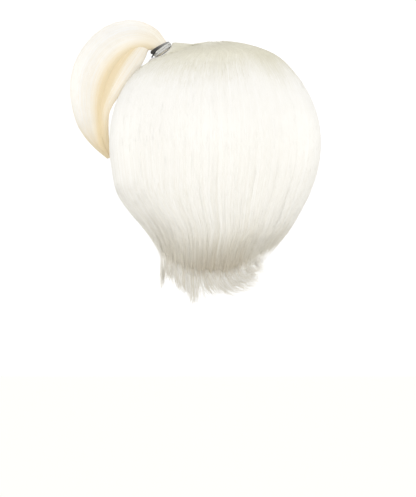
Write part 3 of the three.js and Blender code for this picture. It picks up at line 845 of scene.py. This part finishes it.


# Ponytail
# A thick bundle that fans out from the elastic, rises, and falls in a fat crescent drawn to a point.
# Along its inner side runs a crease of painted shade, and a thinner far bunch lies between it and the back
# hair.
TIE_BUNDLE = 8.6
NEAR_BUNCH = [  # outer edge x and z, inner edge x and z, middle y, half depth, lean of the outer edge
    (53.6, 30.4, 66.5, 15.5, 6, 10.5, 0),
    (59.8, 37.8, 73.5, 15.5, 6, 13, 1),
    (74, 45.2, 84, 12.5, 6, 16, 2),
    (90, 47.4, 92, 7, 5, 18, 2),
    (109, 43.2, 99.5, -1, 4, 20, 3),
    (127, 31.8, 106, -10.5, 3, 21, 3),
    (142.5, 13, 111.5, -22.5, 1, 21, 3),
    (151.5, -9, 115.5, -38.5, -2, 20.5, 3),
    (153, -35, 117, -56, -6, 19, 3),
    (147.7, -60, 116.5, -72, -10, 16.5, 2),
    (139, -76, 115, -85, -13, 13, 1),
    (127.5, -89, 112.5, -95, -16, 9, 0),
    (113.5, -101, 110.5, -99.5, -19, 3, 0),
]
FAR_BUNCH = [  # middle x, y and z, radius
    (66, 5, 26, 6.5),
    (75.5, 5, 21, 9),
    (83.5, 5, 10.5, 12),
    (91.5, 5, -1, 12.5),
    (99, 5, -13, 12),
    (106.5, 4, -26, 10),
    (113, 2, -38, 7.8),
    (117.5, 0, -50, 6.7),
    (118.7, -4, -63, 6.5),
    (118, -9, -76, 5.9),
    (115.5, -14, -88, 4.5),
    (112.5, -18, -97, 2),
]
# The deeper tone along the crease where the two bunches meet is painted shade.
CREASE_SHADE_TURN = math.radians(148)  # where the near bunch turns in towards the far one
FAR_CREASE_SHADE_TURN = math.radians(48)  # the same on the far bunch
CREASE_SHADE_HALF_WIDTH = math.radians(36)
NEAR_HEART = np.array([75.0, -25.0, -25.0])  # the bunches are shaded as if they bulged from these points
FAR_HEART = np.array([95.0, -90.0, -35.0])
BUNCH_LOCKS = 40
PACKED = 0.955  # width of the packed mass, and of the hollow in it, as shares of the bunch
HOLLOW = 0.3
LAY_ROUND_BUNCH = 0.8
MASS_END_STAGE = 0.88
CREASE_SHADE_DEPTH = 0.88  # of tone
RIM_DEPTH = 0.12


def tie_row(height):
    """A row like those of NEAR_BUNCH for the round bundle inside the elastic."""
    outer, inner = (round_tie(turn, TIE_BUNDLE, height) / MM for turn in (0.0, math.pi))
    return (outer[0], outer[2], inner[0], inner[2], TIE[1], TIE_BUNDLE, 0)


NEAR_ROWS = [tie_row(-6.2), tie_row(6.0)] + NEAR_BUNCH


def in_crease_shade(turn, middle):
    """1 in the middle of the painted crease shade, 0 away from it."""
    away = (np.mod(turn, 2 * np.pi) - middle) / CREASE_SHADE_HALF_WIDTH
    return np.exp(-(away**2))


def near_point(place, turn, grow=1.0):
    """Point on the near bunch. Turn 0 is its outer edge and a quarter turn the back."""
    row = np.moveaxis(through(NEAR_ROWS, place + 0 * turn), -1, 0)
    outer_x, outer_z, inner_x, inner_z, y, depth, lean = row
    middle = columns_of((outer_x + inner_x) / 2, y, (outer_z + inner_z) / 2)
    half = columns_of((outer_x - inner_x) / 2, lean, (outer_z - inner_z) / 2)
    out = half * np.cos(turn)[..., None]
    out[..., 1] += depth * np.sin(turn)
    return (middle + out * np.expand_dims(grow, -1)) * MM


def far_point(place, turn, grow=1.0):
    """Point on the far bunch. Turn 0 is the side away from the cap and a quarter turn the back."""
    row = through(FAR_BUNCH, place + 0 * turn)
    before = through(FAR_BUNCH, place - 0.05 + 0 * turn)
    after = through(FAR_BUNCH, place + 0.05 + 0 * turn)
    forward = unit(after[..., :3] - before[..., :3])
    outward = unit(np.cross(forward, TIE_BACKWARD))
    sideways = np.cross(outward, forward)
    out = outward * np.cos(turn)[..., None] + sideways * np.sin(turn)[..., None]
    return (row[..., :3] + out * (row[..., 3] * grow)[..., None]) * MM


def bunch_mass(name, point, last, columns, rows, stands_for, seed):
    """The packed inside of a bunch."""
    turn = np.linspace(0, 2 * np.pi, columns, endpoint=False)[:, None]
    place = np.linspace(0, last, rows)[None, :]
    grow = PACKED + 0.006 * lock_waves(np.degrees(turn) * 0.35, seed) * ease(place, 1.5, 5)
    outer = laid_on_hair(point(place, turn, grow), -1.0 * MM)
    inner = laid_on_hair(point(place, turn, 0 * grow + HOLLOW), -1.5 * MM)
    points, faces = closed_wall(outer, inner, all_round=True)
    lay = both_sides(columns_of(np.degrees(turn) * LAY_ROUND_BUNCH, place * LAY_DOWN, 0.0))
    down = both_sides(MASS_END_STAGE * place / last + 0 * turn)
    return add_piece(name, points, faces, ivory_mass, "ivory_hair", stands_for, lay=lay, down=down)


def bunch_fibres(name, point, last, crease_turn, heart, bulge, stages, pale, count, steps, seed):
    """Loose fibres along a bunch, gathered into locks. Those in the crease between the bunches have a deeper
    tone, painted shade.
    """
    rng = np.random.default_rng(seed)
    lock = rng.integers(0, BUNCH_LOCKS, count)
    middle = (lock / BUNCH_LOCKS * 2 * np.pi)[:, None]
    root = middle + rng.normal(0, 0.1, (count, 1))
    begin = np.where(rng.uniform(0, 1, count) < 0.7, 0.0, rng.uniform(0.0, 5.0, count))[:, None]
    end = last - np.abs(rng.normal(0, 0.4, (count, 1))) - rng.uniform(0, 0.5, BUNCH_LOCKS)[lock][:, None]
    share = np.linspace(0, 1, steps)[None, :]
    place = begin + (end - begin) * share
    sway = 0.05 * np.sin(share * 5 + rng.uniform(0, FULL_TURN, (count, 1)))
    turn = root + (middle - root) * 0.3 * ease(share, 0.3, 1) + sway
    grow = rng.uniform(0.97, 1.0, (count, 1)) + rng.uniform(-0.004, 0.004, BUNCH_LOCKS)[lock][:, None]
    grow = grow - 0.05 * (1 - ease(share, 0, 0.1)) * (begin > 0)
    paths = laid_on_hair(point(place, turn, grow), 0.4 * MM)
    out = unit(way_out(point, place, turn, turn_step=0.03) + bulge * unit(paths - heart * MM))
    tone = rng.normal(pale, 0.06, count) + rng.normal(0, 0.06, BUNCH_LOCKS)[lock]
    crease_shade = CREASE_SHADE_DEPTH * in_crease_shade(root[:, 0], crease_turn)
    rim = RIM_DEPTH * ease(np.cos(root[:, 0]), 0.8, 1)
    tone = np.clip(tone - crease_shade - rim, 0, 1)
    down = stages[0] + (stages[1] - stages[0]) * place / last
    return add_fibres(name, paths, out, down, tone, FIBRE, ivory_fibre, rng)


bunch_mass(
    "ponytail_near_mass", near_point, len(NEAR_ROWS) - 1.15,
    columns=90, rows=50, stands_for=["ponytail"], seed=81,
)
bunch_fibres(
    "ponytail_near_fibres", near_point, len(NEAR_ROWS) - 1.02, CREASE_SHADE_TURN, NEAR_HEART,
    bulge=0.6, stages=(0.0, 0.9), pale=0.9, count=1500, steps=20, seed=82,
)
far_mass = bunch_mass(
    "ponytail_far_mass", far_point, len(FAR_BUNCH) - 1.1,
    columns=60, rows=32, stands_for=[], seed=83,
)
# Its colour stages begin far along, so down its length it deepens in painted shade, the shade of the near
# bunch.
far_fibres = bunch_fibres(
    "ponytail_far_fibres", far_point, len(FAR_BUNCH) - 1.02, FAR_CREASE_SHADE_TURN, FAR_HEART,
    bulge=3.5, stages=(0.6, 0.86), pale=0.72, count=520, steps=20, seed=84,
)
# Pale hair lets the light through, so the thin far bunch casts no shadow on the hair beside it.
for thin_hair in (far_mass, far_fibres):
    thin_hair.visible_shadow = False
    thin_hair.visible_diffuse = False


# Studio
# A white room with broad lamps by the camera, above, at both sides and at the front, and a pale floor below.
# The camera stands straight behind the wig, level with the nape.
FLOOR = -2.4
FLOOR_REACH = 30.0
WIG_MIDDLE = (0.0, 0.0, -0.09)
LAMPS = [  # name, place, size, power, how far it shows as a shine
    ("camera lamp", (0.0, 2.35, 0.15), 1.4, 28, 1.0),
    ("top lamp", (0.0, -0.7, 2.0), 1.4, 14, 0.1),
    ("left lamp", (2.1, -0.35, 0.05), 1.4, 17, 1.0),
    ("right lamp", (-2.1, -0.35, 0.05), 1.4, 18, 1.0),
    ("front lamp", (0.0, -2.3, 0.3), 1.4, 18, 1.0),
]
FLOOR_PAINT = (0.93, 0.91, 0.84, 1)
FLOOR_GLOW = 0.47  # seen by the camera only
ROOM_LIGHT = 0.595
ROOM_GLOW = 0.5  # added where the camera sees the room itself
CAMERA_AWAY = 2.0
CAMERA_SIDE = 0.0043
CAMERA_HEIGHT = -0.1982
SENSOR = 36  # in millimetres, along the picture's longer side
PICTURE_HEIGHT = 497  # in pixels
PIXEL = 1.08 * MM  # size of a pixel of the 416 by 497 picture at the middle of the wig


def lamp(name, spot, size, power, shine):
    light_data = bpy.data.lights.new(name, "AREA")
    light_data.size = size
    light_data.energy = power
    light_data.specular_factor = shine
    made = bpy.data.objects.new(name, light_data)
    away = np.array(spot) - np.array(WIG_MIDDLE)
    tilt = math.acos(away[2] / np.linalg.norm(away))
    made.location = spot
    made.rotation_euler = (tilt, 0, math.atan2(away[1], away[0]) + math.pi / 2)
    made.visible_camera = False
    bpy.context.collection.objects.link(made)


floor_mesh = bpy.data.meshes.new("floor")
floor_ways = ((-1, -1), (1, -1), (1, 1), (-1, 1))
floor_corners = [(x * FLOOR_REACH, y * FLOOR_REACH, FLOOR) for x, y in floor_ways]
floor_mesh.from_pydata(floor_corners, [], [(0, 1, 2, 3)])
floor_paint, floor_shader, floor_dye = new_finish("pale floor", roughness=0.8, gloss=0.2)
floor_shader.inputs["Base Color"].default_value = FLOOR_PAINT
floor_dye.node("ShaderNodeLightPath", {}, {}, "Is Camera Ray").into(floor_shader, "Emission Color")
floor_shader.inputs["Emission Strength"].default_value = FLOOR_GLOW
floor_mesh.materials.append(floor_paint)
floor = bpy.data.objects.new("floor", floor_mesh)
bpy.context.collection.objects.link(floor)

for lamp_row in LAMPS:
    lamp(*lamp_row)

room = bpy.data.worlds.new("white room")
room.use_nodes = True
bpy.context.scene.world = room
sky = room.node_tree.nodes["Background"]
sky.inputs["Color"].default_value = (1, 1, 1, 1)
seen = Dye(room.node_tree).node("ShaderNodeLightPath", {}, {}, "Is Camera Ray")
(seen * ROOM_GLOW + ROOM_LIGHT).into(sky, "Strength")

camera_data = bpy.data.cameras.new("camera")
camera_data.sensor_width = SENSOR
camera_data.lens = SENSOR * CAMERA_AWAY / (PICTURE_HEIGHT * PIXEL)
camera = bpy.data.objects.new("camera", camera_data)
camera.location = (CAMERA_SIDE, CAMERA_AWAY, CAMERA_HEIGHT)
camera.rotation_euler = (math.pi / 2, 0, math.pi)
bpy.context.collection.objects.link(camera)
bpy.context.scene.camera = camera
bpy.context.scene.view_settings.view_transform = "Standard"
